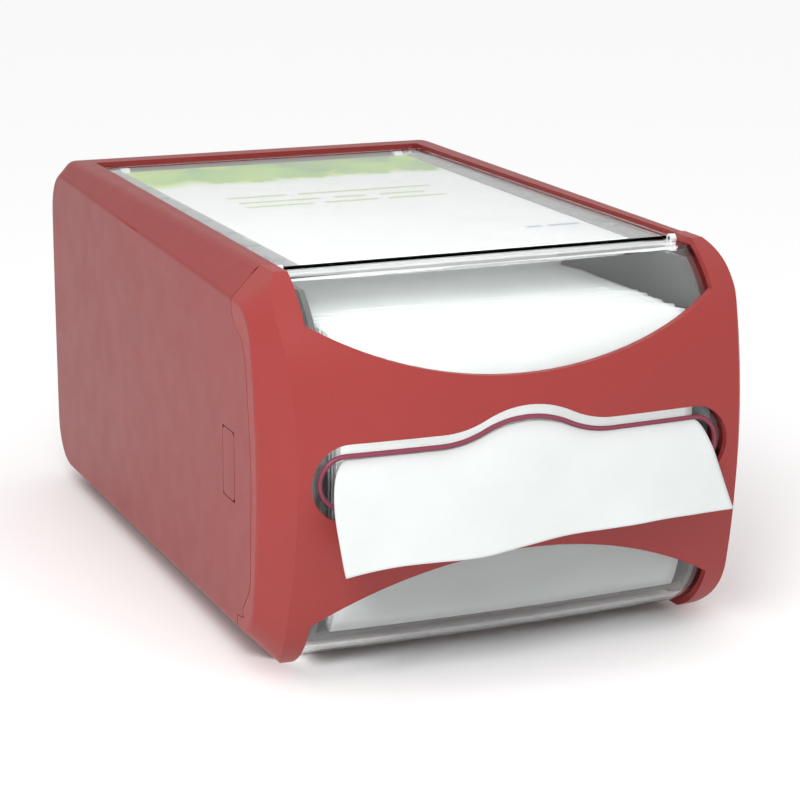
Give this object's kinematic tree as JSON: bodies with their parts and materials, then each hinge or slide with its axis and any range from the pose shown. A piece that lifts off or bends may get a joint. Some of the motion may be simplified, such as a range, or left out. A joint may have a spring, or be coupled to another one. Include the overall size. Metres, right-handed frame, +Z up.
{
  "type": "napkin dispenser",
  "caption": "Counter-top dispenser that feeds folded napkins through a shaped slot in its swing-up front cover, with a clear display lid on top.",
  "frame": {"origin": "on the counter the rubber feet stand on, under the middle of the dispenser with its hanging napkin", "axes": "+Z up, -Y the way the napkins come out, +X to the dispenser's left as seen from behind"},
  "size_m": [0.19, 0.3255, 0.145],
  "materials": {
    "casing_red": "fine satin moulded red",
    "cover_red": "fine-grained moulded red",
    "clear_window": "clear moulded styrene",
    "clear_lid": "clear moulded styrene",
    "display_card": "printed card, leaf picture at the back",
    "rail_smoke": "smoky grey moulding",
    "hopper_grey": "dark grey moulding",
    "napkin_paper": "soft white tissue",
    "pusher_grey": "mid grey moulding",
    "slider_white": "natural white low-friction moulding",
    "pin_steel": "plain steel",
    "spring_steel": "blued spring steel",
    "foot_rubber": "soft black rubber"
  },
  "bodies": {
    "casing": {"main_housing": "casing_red", "rear_cover": "casing_red", "card_tray": "hopper_grey", "cover_hinge_pins": "pin_steel", "lid_hinge_pins": "pin_steel", "display_card": "display_card", "card_rail_left": "rail_smoke", "card_rail_right": "rail_smoke", "hopper_wall_left": "hopper_grey", "hopper_wall_right": "hopper_grey", "hopper_floor": "hopper_grey", "guide_rail": "pusher_grey", "rail_screws": "pin_steel", "napkin_stack": "napkin_paper", "spring_tape": "spring_steel", "latch_pins": "pin_steel", "button_spring_left": "spring_steel", "button_spring_right": "spring_steel", "rubber_feet": "foot_rubber"},
    "front_door": {"front_cover": "cover_red", "front_window": "clear_window", "napkin_tongue": "napkin_paper", "cover_catch_left": "cover_red", "cover_catch_right": "cover_red"},
    "display_lid": {"top_window": "clear_lid"},
    "pusher": {"push_plate": "pusher_grey", "pusher_slider": "slider_white", "spool_axle": "pin_steel"},
    "spool": {"spring_spool": "spring_steel"},
    "button_left": {"side_button_left": "casing_red"},
    "button_right": {"side_button_right": "casing_red"},
    "latch_left": {"latch_arm_left": "slider_white"},
    "latch_right": {"latch_arm_right": "slider_white"}
  },
  "joints": [
    {"name": "front_cover_hinge", "type": "hinge", "parent": "casing", "child": "front_door", "pos_m": [0, -0.10205, 0.1429], "axis": [-1, 0, 0], "range_deg": [0, 75]},
    {"name": "display_lid_hinge", "type": "hinge", "parent": "casing", "child": "display_lid", "pos_m": [0, 0.12375, 0.1391], "axis": [-1, 0, 0], "range_deg": [0, 80]},
    {"name": "pusher_slide", "type": "slide", "parent": "casing", "child": "pusher", "axis": [0, 1, 0], "range_m": [0, 0.045], "stiffness_N_per_m": 12, "springref_m": -0.2},
    {"name": "spring_spool_turn", "type": "hinge", "parent": "pusher", "child": "spool", "pos_m": [0, 0.06355, 0.0261], "axis": [-1, 0, 0], "range_deg": [-5, 300]},
    {"name": "button_left_press", "type": "slide", "parent": "casing", "child": "button_left", "axis": [1, 0, 0], "range_m": [0, 0.0018], "stiffness_N_per_m": 600, "springref_m": -0.001},
    {"name": "button_right_press", "type": "slide", "parent": "casing", "child": "button_right", "axis": [-1, 0, 0], "range_m": [0, 0.0018], "stiffness_N_per_m": 600, "springref_m": -0.001},
    {"name": "latch_left_swing", "type": "hinge", "parent": "casing", "child": "latch_left", "pos_m": [-0.081, -0.07575, 0.073], "axis": [0, 0, 1], "range_deg": [-0.5, 6]},
    {"name": "latch_right_swing", "type": "hinge", "parent": "casing", "child": "latch_right", "pos_m": [0.081, -0.07575, 0.073], "axis": [0, 0, -1], "range_deg": [-0.5, 6]}
  ],
  "couplings": [
    {"joint": "spring_spool_turn", "follows": "pusher_slide", "rad_per_m": 111.1},
    {"joint": "latch_left_swing", "follows": "button_left_press", "rad_per_m": 50.25},
    {"joint": "latch_right_swing", "follows": "button_right_press", "rad_per_m": 50.25}
  ]
}
